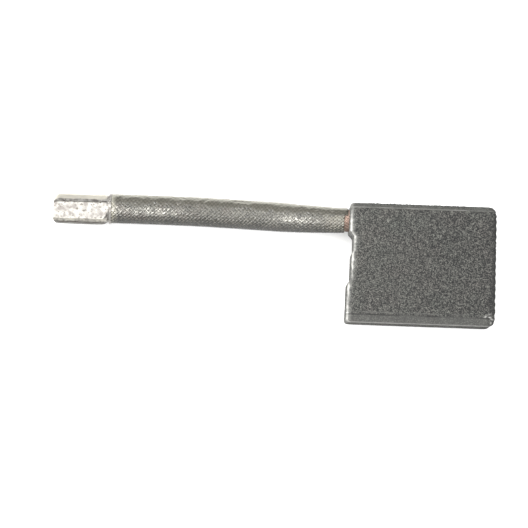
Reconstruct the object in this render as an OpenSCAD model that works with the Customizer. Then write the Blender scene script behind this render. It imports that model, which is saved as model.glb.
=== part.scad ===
// Carbon brush of a starter motor: a pressed copper-graphite block with a stranded copper lead
// moulded into it, a braided glass sleeve over the lead and a crimped ferrule on its free end.
// The frame's origin is the middle of the block's lower face. +X points to the contact face,
// +Y to the side that the lead leaves from, +Z up. All sizes are in millimetres.

/* [Block] */
// Length of the block, from its spring end to the tips of its contact face
block_l = 20; // [17:0.5:24]
// Width of the block, along the commutator's axis
block_w = 16; // [14:0.5:20]
// Thickness of the block, round the commutator
block_t = 8; // [6:0.5:10]
// How far each end leans in at the lead side
end_lean = 0.2; // [0:0.05:0.4]

/* [Block corners] */
// Corner radius at the spring end, lead side
spring_lead_r = 0.45; // [0.2:0.05:0.8]
// Corner radius at the spring end, far side
spring_far_r = 0.4; // [0.2:0.05:1]
// Corner radius at the contact end, lead side
contact_lead_r = 0.5; // [0.2:0.05:1]
// Corner radius at the contact end, far side
contact_far_r = 1.05; // [0.2:0.05:2]

/* [Pressed bevels] */
// Drop of every bevel down the block's sides
bevel_drop = 0.45; // [0.2:0.05:0.8]
// Width of the bevel along the lead side
lead_bevel = 0.65; // [0.2:0.05:1]
// Width of the bevel along the far side
far_bevel = 1.2; // [0.4:0.05:1.8]
// Width of the bevel round the spring end
spring_bevel = 0.3; // [0.1:0.05:0.5]
// Width of the bevel at the contact end
contact_bevel = 0.15; // [0.05:0.05:0.4]

/* [Contact face] */
// Radius of the commutator that the face is shaped to
commutator_r = 16.5; // [12:0.5:30]
// Pitch of the bedding-in ridges
ridge_pitch = 1; // [0.6:0.1:2]
// Depth of the grooves between the ridges
ridge_depth = 0.14; // [0.05:0.01:0.3]

/* [Spring seat] */
// Width of the seat's floor
seat_w = 5.8; // [4:0.1:6.5]
// Distance of the seat's middle from the block's middle, towards the lead
seat_offset = 0.6; // [0:0.1:0.8]
// Depth of the seat
seat_depth = 0.5; // [0.2:0.05:0.8]
// Extra depth of the seat's lead half
seat_step = 0.25; // [0.1:0.05:0.4]
// Share of the seat's floor that lies at its lesser depth
seat_step_share = 0.6; // [0.3:0.1:0.8]
// Run of the seat's sloping ends
seat_run = 0.6; // [0.3:0.05:0.9]

/* [Lead] */
// Diameter of the copper rope
rope_d = 2.95; // [2:0.05:3.1]
// Distance of the rope's axis from the block's lead side
lead_inset = 2.2; // [2.1:0.05:2.8]
// Depth that the rope is moulded into the block
socket_depth = 8; // [5:0.5:12]
// Gap all round the rope, in the block, in the sleeve and in the ferrule
fit_gap = 0.025; // [0.01:0.005:0.04]
// Length of rope left bare between the block and the sleeve
bare_l = 0.7; // [0.3:0.1:1.5]
// Length of the lead, from the block to the ferrule
lead_l = 32.1; // [30:0.1:36]

/* [Sleeve] */
// Outer diameter of the braided sleeve
sleeve_d = 3.9; // [3.6:0.05:4]
// Outer diameter of the sleeve where it is drawn in at the block
sleeve_neck_d = 3.3; // [3.3:0.05:3.6]
// Distance from the block at which the sleeve has its full diameter
sleeve_neck_l = 9; // [4:0.5:12]

/* [Ferrule] */
// Length of the ferrule
ferrule_l = 7.85; // [5:0.05:10]
// Width of the crimped part
ferrule_w = 3.9; // [3.8:0.05:5]
// Height of the crimped part
ferrule_h = 3.6; // [3.4:0.05:4]
// Width of the shoulder on the outer side
outer_shoulder = 1.15; // [0.5:0.05:1.2]
// Width of the shoulder on the inner side
inner_shoulder = 0.5; // [0.3:0.05:1]
// Radius that softens the crimp's edges
crimp_r = 0.2; // [0.1:0.05:0.25]
// Diameter of the round rim that the crimp leaves at the sleeve
rim_d = 4.1; // [4:0.05:4.6]
// Length of the rim
rim_l = 0.35; // [0.2:0.05:0.8]
// Length over which the rim runs out into the crimp
crimp_run = 0.7; // [0.3:0.05:1.2]
// Distance that the strands stop short of the ferrule's end
strand_recess = 0.15; // [0.05:0.05:0.5]

/* [Hidden] */

corner_steps = 5; // straight steps in each rounded corner
rope_sides = 8;   // sides of the lead's tubes

spring_x = -block_l / 2;
far_y = -block_w / 2;
lean = end_lean / block_w;
seat_low = seat_offset - seat_w / 2;
seat_high = seat_offset + seat_w / 2;
seat_mid = seat_low + seat_w * seat_step_share;

// The lead leaves the block's spring end here, square to it
socket_y = block_w / 2 - lead_inset;
socket_x = spring_x + lean * (socket_y - far_y);
socket_z = block_t / 2;
rest_z = rim_d / 2;
hole_d = rope_d + 2 * fit_gap;

// The free lead: distance out from the block, sideways shift towards the lead side, and share
// of the fall from the socket's height to the height at which the lead lies on the surface.
lead_points = [
    [0, 0, 0], [2, 0, 0], [4, 0.02, 0.01], [6, 0.07, 0.11], [8, 0.16, 0.28],
    [10, 0.27, 0.5], [12, 0.37, 0.72], [14, 0.46, 0.89], [16, 0.54, 0.99], [18, 0.6, 1],
    [20, 0.65, 1], [23, 0.68, 1], [26, 0.7, 1], [29, 0.7, 1],
];
shift_out = [for (p = lead_points) [p.x, p.y]];
fall_out = [for (p = lead_points) [p.x, p.z]];

// A point of the lead's centre line, so far out from the block
function lead_at(out) = [
    socket_x - out,
    socket_y + lookup(out, shift_out),
    socket_z - (socket_z - rest_z) * lookup(out, fall_out)
];

// Distances out from the block at which the tubes have their rings
function stations(from, to) = [
    from,
    for (p = lead_points) if (p.x > from + 0.3 && p.x < to - 0.3) p.x,
    to
];

function unit(v) = v / norm(v);

// The turn from one corner to the next, as an arc of radius r between neighbours a and b
function corner_arc(a, p, b, r) =
    let (
        u = unit(a - p),
        v = unit(b - p),
        half = acos(u * v) / 2,
        centre = p + unit(u + v) * r / sin(half),
        start = p + u * r / tan(half) - centre,
        side = sign(u.x * v.y - u.y * v.x),
        sweep = -side * (180 - 2 * half)
    )
    [for (i = [0:corner_steps])
        let (turn = sweep * i / corner_steps)
        centre + [
            start.x * cos(turn) - start.y * sin(turn),
            start.x * sin(turn) + start.y * cos(turn)
        ]
    ];

// An outline whose corners, given as [x, y, radius], are rounded
function rounded(corners) =
    let (n = len(corners))
    [for (i = [0:n - 1])
        let (
            a = corners[(i + n - 1) % n],
            p = corners[i],
            b = corners[(i + 1) % n]
        )
        each corner_arc([a.x, a.y], [p.x, p.y], [b.x, b.y], p.z)
    ];

// Position of the spring end, or of the contact end, at a distance y across the block
function spring_end(y) = spring_x + lean * (y - far_y);
function contact_end(y) = -spring_x + contact_bevel / 2 - lean * (y - far_y);

// The block's outline from above, drawn in by a share of its bevels
function block_outline(share) =
    let (
        low = far_y + far_bevel * share,
        high = -far_y - lead_bevel * share,
        inset = spring_bevel * share,
        spread = inset * tan(atan(seat_depth / seat_run) / 2),
        soft = 0.15
    )
    rounded([
        [contact_end(low) - contact_bevel * share, low, contact_far_r],
        [contact_end(high) - contact_bevel * share, high, contact_lead_r],
        [spring_end(high) + inset, high, spring_lead_r],
        [spring_end(seat_high + seat_run) + inset, seat_high + seat_run + spread, soft],
        [spring_x + seat_depth + seat_step + inset, seat_high + spread, soft],
        [spring_x + seat_depth + seat_step + inset, seat_mid + seat_step, soft],
        [spring_x + seat_depth + inset, seat_mid, soft],
        [spring_x + seat_depth + inset, seat_low - spread, soft],
        [spring_end(seat_low - seat_run) + inset, seat_low - seat_run - spread, soft],
        [spring_end(low) + inset, low, spring_far_r],
    ]);

// Faces of a skin over closed rings of n points each, ring after ring
function skin_sides(rings, n) = [
    for (k = [0:rings - 2], i = [0:n - 1])
        let (j = (i + 1) % n)
        each [
            [k * n + i, (k + 1) * n + i, (k + 1) * n + j],
            [k * n + i, (k + 1) * n + j, k * n + j]
        ]
];

// The pressed block before its contact face, seat socket and lead are formed
module pressed_body() {
    levels = [[0, 1], [bevel_drop, 0], [block_t - bevel_drop, 0], [block_t, 1]];
    n = len(block_outline(0));
    points = [for (level = levels, p = block_outline(level[1])) [p.x, p.y, level[0]]];
    top = n * (len(levels) - 1);
    polyhedron(
        points,
        concat(
            skin_sides(len(levels), n),
            [[for (i = [0:n - 1]) i]],
            [[for (i = [n - 1:-1:0]) top + i]]
        ),
        convexity = 6
    );
}

// The commutator's place, as a roll with a zigzag rim that cuts the ridged contact face
module commutator_roll() {
    reach = block_t / 2 - bevel_drop / 2;
    axis_out = sqrt(commutator_r * commutator_r - reach * reach);
    half_turns = 2 * ceil(block_w / ridge_pitch / 2 + 1);
    rim = [
        for (i = [-half_turns:half_turns])
            [commutator_r + (i % 2 == 0 ? 0 : ridge_depth), i * ridge_pitch / 2]
    ];
    end = half_turns * ridge_pitch / 2;
    translate([-spring_x, far_y, socket_z])
        rotate([0, 0, atan(lean)])
            translate([axis_out, block_w / 2, 0])
                rotate([90, 0, 0])
                    rotate_extrude($fn = 180)
                        polygon(concat([[0, -end]], rim, [[0, end]]));
}

module brush_block() {
    color("dimgray")
        difference() {
            pressed_body();
            commutator_roll();
            translate([socket_x + socket_depth, socket_y, socket_z])
                rotate([0, -90, 0])
                    cylinder(d = hole_d, h = 2 * socket_depth, $fn = 48);
        }
}

// A ring of points square to the lead at station i of a list of distances
function lead_ring(outs, i, d) =
    let (
        here = lead_at(outs[i]),
        before = lead_at(outs[max(i - 1, 0)]),
        after = lead_at(outs[min(i + 1, len(outs) - 1)]),
        ahead = i == 0 || i == len(outs) - 1 ? [-1, 0, 0] : unit(after - before),
        across = unit(cross([0, 0, 1], ahead)),
        up = cross(ahead, across)
    )
    [for (k = [0:rope_sides - 1])
        let (turn = 360 * (k + 0.5) / rope_sides)
        here + (across * cos(turn) + up * sin(turn)) * d / 2
    ];

module copper_lead() {
    outs = concat([-socket_depth], stations(0, lead_l), [lead_l + ferrule_l - strand_recess]);
    n = rope_sides;
    points = [for (i = [0:len(outs) - 1]) each lead_ring(outs, i, rope_d)];
    last = n * (len(outs) - 1);
    color("peru")
        polyhedron(
            points,
            concat(
                skin_sides(len(outs), n),
                [[for (i = [0:n - 1]) i]],
                [[for (i = [n - 1:-1:0]) last + i]]
            ),
            convexity = 4
        );
}

// Outer diameter of the sleeve, so far out from the block
function sleeve_at(out) =
    lookup(out, [[bare_l, sleeve_neck_d], [sleeve_neck_l, sleeve_d]]);

module braided_sleeve() {
    outs = stations(bare_l, lead_l);
    n = rope_sides;
    rings = len(outs);
    outer = [for (i = [0:rings - 1]) each lead_ring(outs, i, sleeve_at(outs[i]))];
    inner = [for (i = [0:rings - 1]) each lead_ring(outs, i, hole_d)];
    shift = rings * n;
    last = n * (rings - 1);
    color("gray")
        polyhedron(
            concat(outer, inner),
            concat(
                skin_sides(rings, n),
                [for (f = skin_sides(rings, n)) [shift + f[0], shift + f[2], shift + f[1]]],
                [for (i = [0:n - 1]) let (j = (i + 1) % n) each [
                    [i, shift + j, shift + i],
                    [i, j, shift + j],
                    [last + i, shift + last + i, shift + last + j],
                    [last + i, shift + last + j, last + j]
                ]]
            ),
            convexity = 6
        );
}

// The crimp's section, outer side to the right
function crimp_section() =
    let (
        right = ferrule_w / 2,
        top = ferrule_h / 2,
        outer_drop = outer_shoulder * 0.8
    )
    rounded([
        [right, -top + outer_drop, 3 * crimp_r],
        [right, top - outer_drop, 3 * crimp_r],
        [right - outer_shoulder, top, crimp_r],
        [-right + inner_shoulder, top, crimp_r],
        [-right, top - inner_shoulder, crimp_r],
        [-right, -top + inner_shoulder, crimp_r],
        [-right + inner_shoulder, -top, crimp_r],
        [right - outer_shoulder, -top, crimp_r],
    ]);

// A flat outline raised into a bar along X, its own x across and its own y up
module bar_along_x(length) {
    rotate([90, 0, 90])
        linear_extrude(length)
            children();
}

module ferrule() {
    slice = 0.05;
    rim_at = ferrule_l - rim_l;
    crimp_l = rim_at - crimp_run;
    outer_r = 0.6;
    inner_r = 0.35;
    face_r = 0.2;
    end = lead_at(lead_l + ferrule_l);
    color("silver")
        translate(end)
            difference() {
                union() {
                    intersection() {
                        bar_along_x(crimp_l)
                            polygon(crimp_section());
                        translate([0, 0, -ferrule_h])
                            linear_extrude(2 * ferrule_h)
                                polygon(rounded([
                                    [0, -ferrule_w / 2, inner_r],
                                    [ferrule_l, -ferrule_w / 2, inner_r],
                                    [ferrule_l, ferrule_w / 2, outer_r],
                                    [0, ferrule_w / 2, outer_r],
                                ]));
                        rotate([90, 0, 0])
                            translate([0, 0, -ferrule_w])
                                linear_extrude(2 * ferrule_w)
                                    polygon(rounded([
                                        [0, -ferrule_h / 2, face_r],
                                        [ferrule_l, -ferrule_h / 2, face_r],
                                        [ferrule_l, ferrule_h / 2, face_r],
                                        [0, ferrule_h / 2, face_r],
                                    ]));
                    }
                    hull() {
                        translate([crimp_l, 0, 0])
                            bar_along_x(slice)
                                polygon(crimp_section());
                        translate([rim_at - slice, 0, 0])
                            rotate([0, 90, 0])
                                cylinder(d = ferrule_h, h = slice, $fn = 32);
                    }
                    translate([rim_at, 0, 0])
                        rotate([0, 90, 0])
                            cylinder(d = rim_d, h = rim_l, $fn = 64);
                }
                translate([-1, 0, 0])
                    rotate([0, 90, 0])
                        cylinder(d = hole_d, h = ferrule_l + 2, $fn = 48);
            }
}

brush_block();
copper_lead();
braided_sleeve();
ferrule();
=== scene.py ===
# Carbon brush for a starter motor: a pressed copper-graphite block, a stranded copper lead
# moulded into it, a braided glass sleeve over the lead and a crimped ferrule on its free end.
import math

import bmesh
import bpy
import numpy as np
from mathutils import Matrix, Vector, noise


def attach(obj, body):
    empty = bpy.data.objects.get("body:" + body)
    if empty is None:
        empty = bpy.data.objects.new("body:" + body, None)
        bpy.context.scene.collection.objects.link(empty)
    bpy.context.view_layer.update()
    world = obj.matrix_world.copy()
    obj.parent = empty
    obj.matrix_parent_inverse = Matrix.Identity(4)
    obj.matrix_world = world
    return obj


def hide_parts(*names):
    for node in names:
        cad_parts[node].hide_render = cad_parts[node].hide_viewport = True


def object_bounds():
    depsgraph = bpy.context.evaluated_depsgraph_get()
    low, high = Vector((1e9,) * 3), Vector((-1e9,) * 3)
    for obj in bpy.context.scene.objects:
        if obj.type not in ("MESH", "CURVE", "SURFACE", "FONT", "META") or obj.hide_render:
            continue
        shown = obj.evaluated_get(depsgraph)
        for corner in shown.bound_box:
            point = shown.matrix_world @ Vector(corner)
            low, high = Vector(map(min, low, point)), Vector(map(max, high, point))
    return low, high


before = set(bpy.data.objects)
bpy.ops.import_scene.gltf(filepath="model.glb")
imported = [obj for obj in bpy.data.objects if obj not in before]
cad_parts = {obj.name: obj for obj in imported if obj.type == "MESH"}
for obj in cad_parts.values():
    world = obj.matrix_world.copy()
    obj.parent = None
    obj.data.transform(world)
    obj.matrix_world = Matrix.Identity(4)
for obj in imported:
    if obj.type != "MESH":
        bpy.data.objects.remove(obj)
cad_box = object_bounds()
scene = bpy.context.scene


# ---- The table, the lamps and the camera ---------------------------------------------------
# The brush lies on a white laminate table. One wide soft lamp hangs above it, and a smaller
# one stands low beyond its ferrule, so that edges which face that way catch the light.


def paint(code):
    """An sRGB hex colour, made linear."""
    parts = [int(code[i : i + 2], 16) / 255 for i in (1, 3, 5)]
    linear = [c / 12.92 if c <= 0.04045 else ((c + 0.055) / 1.055) ** 2.4 for c in parts]
    return (*linear, 1)


def add(tree, kind, inputs={}, **settings):
    """A new node with its settings, its inputs given as values, sockets or nodes to link."""
    made = tree.nodes.new(kind)
    for name, value in settings.items():
        setattr(made, name, value)
    for name, value in inputs.items():
        if isinstance(value, bpy.types.Node):
            value = value.outputs[0]
        if isinstance(value, bpy.types.NodeSocket):
            tree.links.new(value, made.inputs[name])
        else:
            made.inputs[name].default_value = value
    return made


def finish(name):
    """A new material, its node tree and its shader."""
    material = bpy.data.materials.new(name)
    material.use_nodes = True
    tree = material.node_tree
    return material, tree, tree.nodes["Principled BSDF"]


def spaced(apart):
    """The scale of a pattern in metres whose marks lie this many millimetres apart."""
    return 1000 / apart


# White melamine laminate: even, pale and slightly glossy, with a faint mottle of 1.1 mm. The
# lamps are strong enough to show it white, and it throws only some of their light back onto
# the brush's sides.
laminate, tree, shader = finish("white_melamine_laminate")
spot = add(tree, "ShaderNodeTexCoord").outputs["Object"]
grain = add(tree, "ShaderNodeTexNoise", {"Vector": spot, "Scale": spaced(1.11), "Detail": 3.0})
tone = add(
    tree,
    "ShaderNodeMix",
    {"Factor": grain.outputs["Fac"], 6: paint("#efefee"), 7: paint("#f2f2f1")},
    data_type="RGBA",
)
tree.links.new(tone.outputs[2], shader.inputs["Base Color"])
shader.inputs["Roughness"].default_value = 0.6

# Half its width, and the hair that it lies below the brush
half, below = 0.9, -0.00004
top = bpy.data.meshes.new("table_top")
top.from_pydata(
    [(-half, -half, below), (half, -half, below), (half, half, below), (-half, half, below)],
    [],
    [(0, 1, 2, 3)],
)
top.materials.append(laminate)
table = bpy.data.objects.new("table_top", top)
scene.collection.objects.link(table)

scene.view_settings.view_transform = "Standard"
scene.world = bpy.data.worlds.new("studio")
scene.world.use_nodes = True
walls = scene.world.node_tree.nodes["Background"]
walls.inputs["Color"].default_value = paint("#f4f4f6")
walls.inputs["Strength"].default_value = 0.55

centre = (cad_box[0] + cad_box[1]) / 2
# Each lamp's width in metres, its watts and where it hangs, from the brush's middle
for name, side, power, stand in [
    ("overhead_lamp", 1.0, 14.5, (0.0, 0.0, 0.75)),
    ("low_lamp", 0.24, 3.0, (-0.42, 0.1, 0.22)),
]:
    lamp = bpy.data.lights.new(name, "AREA")
    lamp.size, lamp.energy = side, power
    holder = bpy.data.objects.new(name, lamp)
    holder.location = centre + Vector(stand)
    holder.rotation_euler = Vector(stand).to_track_quat("Z", "Y").to_euler()
    scene.collection.objects.link(holder)

# The camera looks almost straight down, from a little in front of the brush's far side. It
# sees 70 mm from side to side, and aims 31 mm in from the contact end.
away, lean, turn = 0.4, math.radians(4), math.radians(2)
seen_width, aim_in, aim_aside = 0.0704, 0.03106, -0.00069
back = Vector((0, -math.sin(lean), math.cos(lean)))
right = Vector((math.cos(turn), math.sin(turn), 0))
right = (right - back * right.dot(back)).normalized()
aim = Vector((cad_box[1].x - aim_in, aim_aside, cad_box[1].z))
eye = bpy.data.cameras.new("camera")
eye.lens = eye.sensor_width * away / seen_width
camera = bpy.data.objects.new("camera", eye)
camera.matrix_world = Matrix.Translation(aim + back * away) @ (
    Matrix((right, back.cross(right), back)).transposed().to_4x4()
)
scene.collection.objects.link(camera)
scene.camera = camera


# ---- The lead ------------------------------------------------------------------------------
# Rope of fine soft copper wires, bunched and twisted. The block is pressed round one end of
# it, and the other end is crimped in the ferrule, where the cut wires show.

# Distance out from the block, shift to the lead side and share of the way down to the table,
# the first two in millimetres, on the same route as the solid one. It leaves half way up the
# block, and comes down by the drop.
lead_spots = [
    (-8, 0, 0), (-4, 0, 0), (0, 0, 0), (2, 0, 0), (4, 0.02, 0.01), (6, 0.07, 0.11),
    (8, 0.16, 0.28), (10, 0.27, 0.5), (12, 0.37, 0.72), (14, 0.46, 0.89), (16, 0.54, 0.99),
    (18, 0.6, 1), (20, 0.65, 1), (23, 0.68, 1), (26, 0.7, 1), (29, 0.7, 1),
    (33, 0.7, 1), (36, 0.7, 1), (39.8, 0.7, 1),
]  # fmt: skip
mid_height, drop = 0.004, 0.00195
lead_leaves = Vector((-0.0098275, 0.0058, mid_height))
lead_route = [
    Vector((lead_leaves.x - out / 1000, lead_leaves.y + shift / 1000, mid_height - drop * fall))
    for out, shift, fall in lead_spots
]
in_block, rope_d, strands, lay = 0.008, 0.00295, 22, 0.016
# The cut wires that show, drawn thick, and the radius of the end that they fill
wire_d, wires_apart, cut_r = 0.00016, 0.00015, 0.43 * rope_d


def nodes_with(name, sizes):
    """A Geometry Nodes tree that takes a mesh and named sizes, its inputs and its output."""
    tree = bpy.data.node_groups.new(name, "GeometryNodeTree")
    tree.interface.new_socket("Mesh", in_out="INPUT", socket_type="NodeSocketGeometry")
    tree.interface.new_socket("Mesh", in_out="OUTPUT", socket_type="NodeSocketGeometry")
    for label, kind in sizes.items():
        tree.interface.new_socket(label, in_out="INPUT", socket_type="NodeSocket" + kind)
    given = add(tree, "NodeGroupInput").outputs
    return tree, given, add(tree, "NodeGroupOutput").inputs[0]


def grown(name, start, tree, values):
    """The plain mesh that the tree makes from the start mesh and these sizes."""
    holder = bpy.data.objects.new(name, start)
    scene.collection.objects.link(holder)
    modifier = holder.modifiers.new(name, "NODES")
    modifier.node_group = tree
    for item in tree.interface.items_tree:
        if item.in_out == "INPUT" and item.name in values:
            modifier[item.identifier] = values[item.name]
    seen = holder.evaluated_get(bpy.context.evaluated_depsgraph_get())
    made = bpy.data.meshes.new_from_object(seen)
    holder.modifiers.remove(modifier)
    bpy.data.objects.remove(holder)
    made.name = name
    return made


def piece_of(name, mesh):
    """An object at the origin that shows this mesh."""
    piece = bpy.data.objects.new(name, mesh)
    scene.collection.objects.link(piece)
    return piece


# Soft annealed copper: bright metal, warm in the hollows where it is oxidised, with stains
# 0.7 mm apart. Its wires are 0.07 mm thick, and are drawn 0.11 mm so that they show.
copper, tree, shader = finish("annealed_copper_wire")
place = add(tree, "ShaderNodeTexCoord").outputs["Object"]
strand = add(tree, "ShaderNodeAttribute", attribute_name="in_strand").outputs["Vector"]
wires = add(tree, "ShaderNodeTexNoise", {"Vector": strand, "Scale": 1 / 0.1111, "Detail": 1.0})
stains = add(
    tree, "ShaderNodeTexNoise", {"Vector": place, "Scale": spaced(0.7143), "Detail": 3.0}
)
spotted = add(tree, "ShaderNodeMath", {0: stains, 1: 0.9, 2: -0.3}, operation="MULTIPLY_ADD")
mixed = add(tree, "ShaderNodeMath", {0: wires, 1: 0.6, 2: spotted}, operation="MULTIPLY_ADD")
ramp = add(
    tree,
    "ShaderNodeMix",
    {"Factor": mixed, 6: paint("#4c3b33"), 7: paint("#dcc2b3")},
    data_type="RGBA",
    clamp_factor=True,
)
tree.links.new(ramp.outputs[2], shader.inputs["Base Color"])
shader.inputs["Metallic"].default_value = 0.9
shader.inputs["Roughness"].default_value = 0.42
bump = add(tree, "ShaderNodeBump", {"Strength": 0.6, "Distance": 0.00004, "Height": wires})
tree.links.new(bump.outputs["Normal"], shader.inputs["Normal"])

# The rope: a ring of rounded strands, drawn along the route and twisted as it goes. Six
# corners of the ring go to each strand, and its crown stands an eighth further out.
per_strand, hollow_at, crown_by = 6, 0.88, 0.12
tree, given, out = nodes_with(
    "rope",
    {"Diameter": "Float", "Strands": "Int", "Lay": "Float", "Step": "Float", "Metal": "Material"},
)
line = add(tree, "GeometryNodeMeshToCurve", {"Mesh": given["Mesh"]}).outputs[0]
line = add(
    tree, "GeometryNodeCurveSplineType", {"Curve": line}, spline_type="CATMULL_ROM"
).outputs[0]
line = add(
    tree, "GeometryNodeResampleCurve", {"Curve": line, "Length": given["Step"]}, mode="LENGTH"
).outputs[0]
length = add(tree, "GeometryNodeSplineParameter").outputs["Length"]
line = add(
    tree,
    "GeometryNodeStoreNamedAttribute",
    {"Geometry": line, "Name": "out_along", "Value": length},
).outputs[0]
turns = add(tree, "ShaderNodeMath", {0: length, 1: math.tau}, operation="MULTIPLY")
turns = add(tree, "ShaderNodeMath", {0: turns, 1: given["Lay"]}, operation="DIVIDE")
line = add(tree, "GeometryNodeSetCurveTilt", {"Curve": line, "Tilt": turns}).outputs[0]
number = add(tree, "GeometryNodeInputIndex")
corners, radius, at = (
    add(tree, "ShaderNodeMath", {0: value, 1: by}, operation="MULTIPLY")
    for value, by in (
        (given["Strands"], per_strand), (given["Diameter"], 0.5), (number, math.pi / per_strand),
    )
)  # fmt: skip
ring = add(
    tree,
    "GeometryNodeCurvePrimitiveCircle",
    {"Resolution": corners, "Radius": radius},
    mode="RADIUS",
).outputs[0]
crown = add(tree, "ShaderNodeMath", {0: at}, operation="SINE")
crown = add(tree, "ShaderNodeMath", {0: crown}, operation="ABSOLUTE")
swell = add(
    tree, "ShaderNodeMath", {0: crown, 1: crown_by, 2: hollow_at}, operation="MULTIPLY_ADD"
)
spot = add(tree, "GeometryNodeInputPosition")
swelled, millimetres = (
    add(tree, "ShaderNodeVectorMath", {0: spot, "Scale": by}, operation="SCALE")
    for by in (swell, 1000.0)
)
ring = add(tree, "GeometryNodeSetPosition", {"Geometry": ring, "Position": swelled}).outputs[0]
ring = add(
    tree,
    "GeometryNodeStoreNamedAttribute",
    {"Geometry": ring, "Name": "in_round", "Value": millimetres},
    data_type="FLOAT_VECTOR",
).outputs[0]
rope = add(
    tree,
    "GeometryNodeCurveToMesh",
    {"Curve": line, "Profile Curve": ring, "Fill Caps": True},
).outputs[0]
# Where each spot lies in its strand: millimetres across it, drawn out long along it
along, round_ = (
    add(tree, "GeometryNodeInputNamedAttribute", {"Name": name}, data_type=kind).outputs[0]
    for name, kind in (("out_along", "FLOAT"), ("in_round", "FLOAT_VECTOR"))
)
far = add(tree, "ShaderNodeMath", {0: along, 1: 60.0}, operation="MULTIPLY")
far = add(tree, "ShaderNodeCombineXYZ", {"Z": far})
stretch = add(tree, "ShaderNodeVectorMath", {0: round_, 1: far}, operation="ADD")
rope = add(
    tree,
    "GeometryNodeStoreNamedAttribute",
    {"Geometry": rope, "Name": "in_strand", "Value": stretch},
    data_type="FLOAT_VECTOR",
).outputs[0]
rope = add(tree, "GeometryNodeSetShadeSmooth", {"Geometry": rope}).outputs[0]
rope = add(tree, "GeometryNodeRealizeInstances", {"Geometry": rope}).outputs[0]
rope = add(
    tree, "GeometryNodeSetMaterial", {"Geometry": rope, "Material": given["Metal"]}
).outputs[0]
tree.links.new(rope, out)

start = bpy.data.meshes.new("lead_line")
start.from_pydata(lead_route, [(i, i + 1) for i in range(len(lead_route) - 1)], [])
lead_mesh = grown(
    "stranded_lead",
    start,
    tree,
    {"Diameter": rope_d, "Strands": strands, "Lay": lay, "Step": 0.00025, "Metal": copper},
)

# The cut wires at the free end: short round stubs of uneven length, scattered over the rope's
# end. The distance between them sets how many there are, not the density.
tree, given, out = nodes_with(
    "wire_ends", {"Wire": "Float", "Apart": "Float", "Seed": "Int", "Metal": "Material"}
)
spots = add(
    tree,
    "GeometryNodeDistributePointsOnFaces",
    {
        "Mesh": given["Mesh"],
        "Distance Min": given["Apart"],
        "Density Max": 9e8,
        "Seed": given["Seed"],
    },
    distribute_method="POISSON",
)
radius = add(tree, "ShaderNodeMath", {0: given["Wire"], 1: 0.5}, operation="MULTIPLY")
stub = add(
    tree, "GeometryNodeMeshCylinder", {"Vertices": 7, "Radius": radius, "Depth": given["Wire"]}
).outputs[0]
dealt = add(
    tree,
    "FunctionNodeRandomValue",
    {"Seed": given["Seed"], 0: (0.75, 0.75, 0.3), 1: (1.1, 1.1, 1.5)},
    data_type="FLOAT_VECTOR",
)
stubs = add(
    tree,
    "GeometryNodeInstanceOnPoints",
    {
        "Points": spots.outputs["Points"],
        "Instance": stub,
        "Rotation": spots.outputs["Rotation"],
        "Scale": dealt.outputs[0],
    },
).outputs[0]
stubs = add(tree, "GeometryNodeRealizeInstances", {"Geometry": stubs}).outputs[0]
stubs = add(
    tree, "GeometryNodeSetMaterial", {"Geometry": stubs, "Material": given["Metal"]}
).outputs[0]
tree.links.new(stubs, out)

end, corners = lead_route[-1], 24
disc = bpy.data.meshes.new("rope_end")
rim = [
    end + Vector((0, -math.sin(a), math.cos(a))) * cut_r
    for a in np.linspace(0, math.tau, corners, endpoint=False)
]
disc.from_pydata(rim, [], [tuple(range(corners))])
stubs_mesh = grown(
    "wire_ends", disc, tree, {"Wire": wire_d, "Apart": wires_apart, "Seed": 4, "Metal": copper}
)
both = bmesh.new()
both.from_mesh(lead_mesh)
both.from_mesh(stubs_mesh)
both.to_mesh(lead_mesh)
both.free()
lead = piece_of("stranded_lead", lead_mesh)


# ---- The sleeve ----------------------------------------------------------------------------
# Insulating sleeve braided from flat glass-fibre yarns, one set wound each way, over and
# under. It is soaked in varnish and slipped over the lead, up to the ferrule.
sleeve_d, neck_d, neck_l = 0.0039, 0.0033, 0.009
yarns_each_way, braid_lay = 22, math.pi * 0.0037
yarn_wide, yarn_thick, yarn_rise = 0.00036, 0.0001, 0.00003
# The end by the block was cut at a slant, which reaches this much further on the lead side, is
# lost over this length, and starts and is full at these cosines round from the lead side
slant, slant_l, slant_from, slant_full = 0.0005, 0.0012, 0.3, 0.55

# The lead's route closely spaced, as the smooth curve through its spots runs, and how far
# along it each place lies, from the block
spots = np.array([lead_route[0], *lead_route, lead_route[-1]])
u = np.arange(12)[:, None] / 12
close_route = np.concatenate(
    [
        p1
        + 0.5 * ((p2 - p0) * u + (2 * p0 - 5 * p1 + 4 * p2 - p3) * u**2)
        + 0.5 * (3 * p1 - 3 * p2 + p3 - p0) * u**3
        for p0, p1, p2, p3 in zip(spots, spots[1:], spots[2:], spots[3:])
    ]
)
run = np.linalg.norm(np.diff(close_route, axis=0), axis=1).cumsum()
run = np.concatenate([[0], run]) - in_block
# The sleeve leaves some copper bare and runs along it until it meets the ferrule, 32.1 mm out
sleeve_starts, ferrule_out, tucked = 0.0007, 0.0321, 0.00005
sleeve_ends = float(np.interp(ferrule_out, lead_leaves.x - close_route[:, 0], run))

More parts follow.
